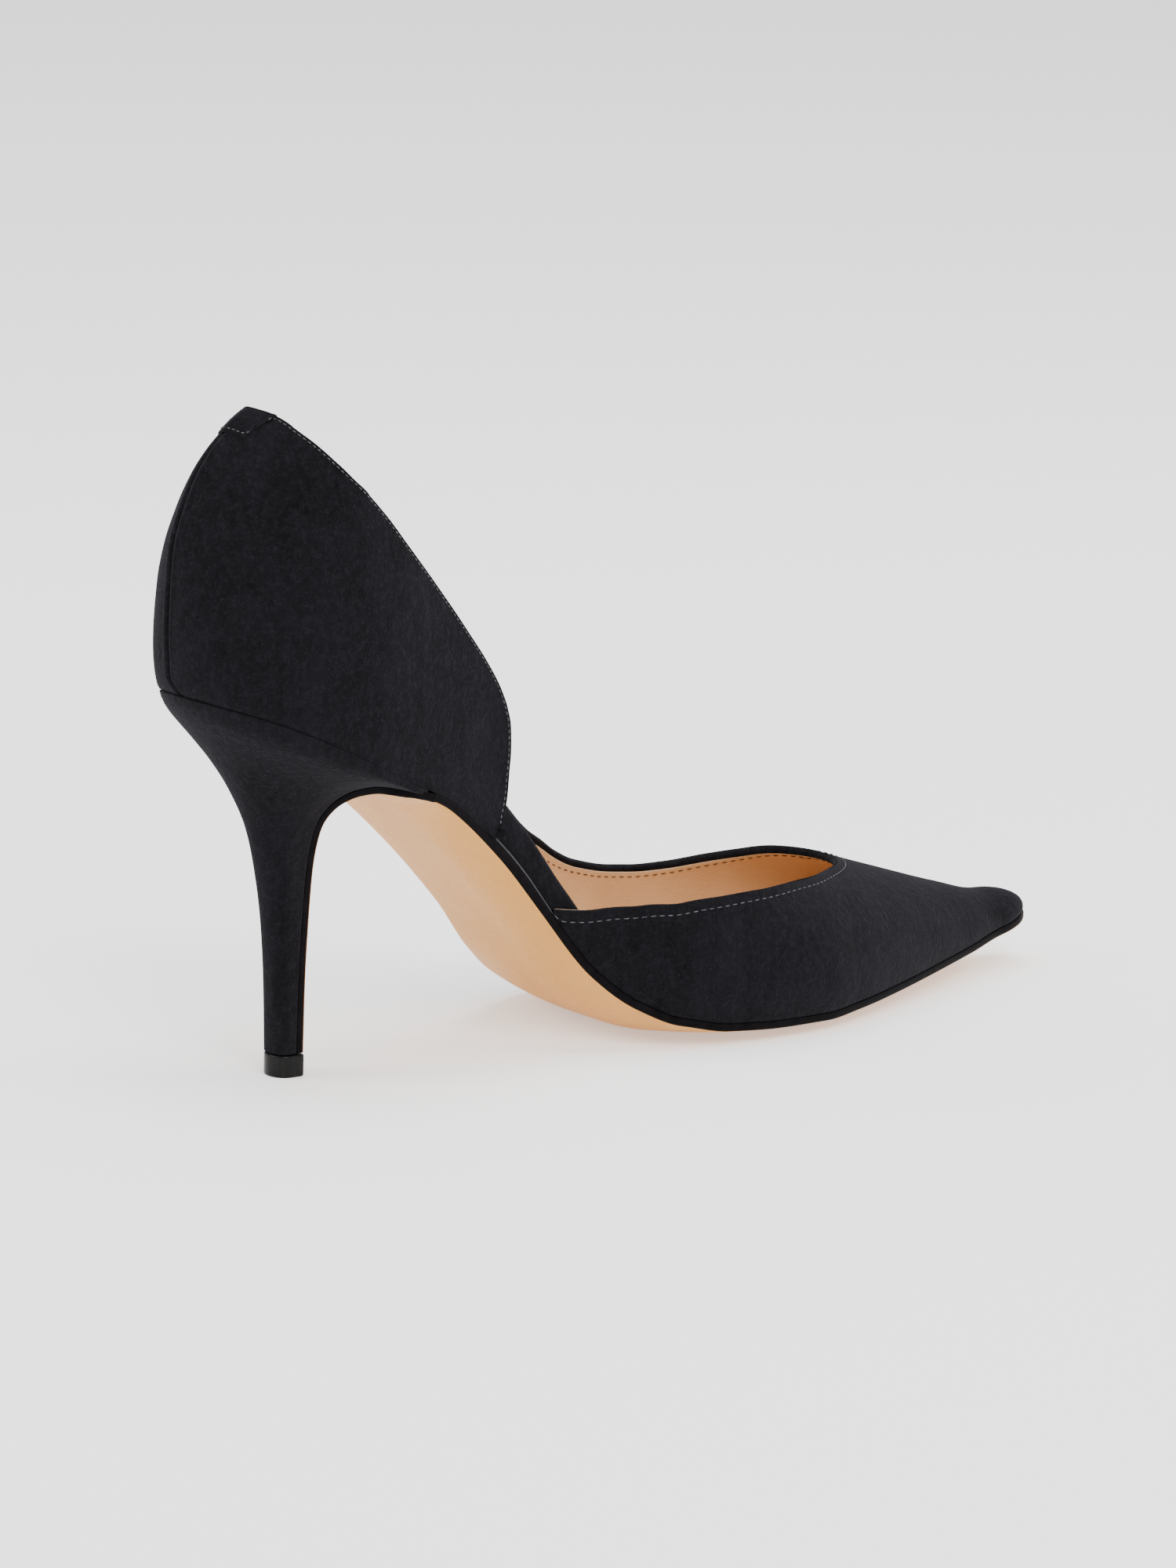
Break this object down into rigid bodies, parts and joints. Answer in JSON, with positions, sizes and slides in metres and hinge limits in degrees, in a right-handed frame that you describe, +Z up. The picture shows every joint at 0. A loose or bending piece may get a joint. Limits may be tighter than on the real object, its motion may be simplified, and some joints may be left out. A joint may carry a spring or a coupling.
{
  "type": "high-heeled pump",
  "caption": "Woman's left pump with a pointed toe, one side open at the waist, a high back and a slim covered heel.",
  "frame": {"origin": "middle of the shoe's bounding box on the floor it stands on", "axes": "+X towards the toe, +Y towards the wearer's left, which is the closed outer side, +Z up"},
  "size_m": [0.2402, 0.0714, 0.1484],
  "materials": {
    "suede": "black suede with a short nap, lined in tan leather",
    "insole_leather": "tan lining leather on the foot's side, black where the side is wrapped",
    "sole_leather": "smooth tan leather with a black painted edge",
    "hard_black": "glossy black"
  },
  "bodies": {
    "root": {"upper": "suede", "insole": "insole_leather", "outsole": "sole_leather", "heel": "suede", "top_piece": "hard_black", "back_tab": "suede"}
  },
  "joints": []
}
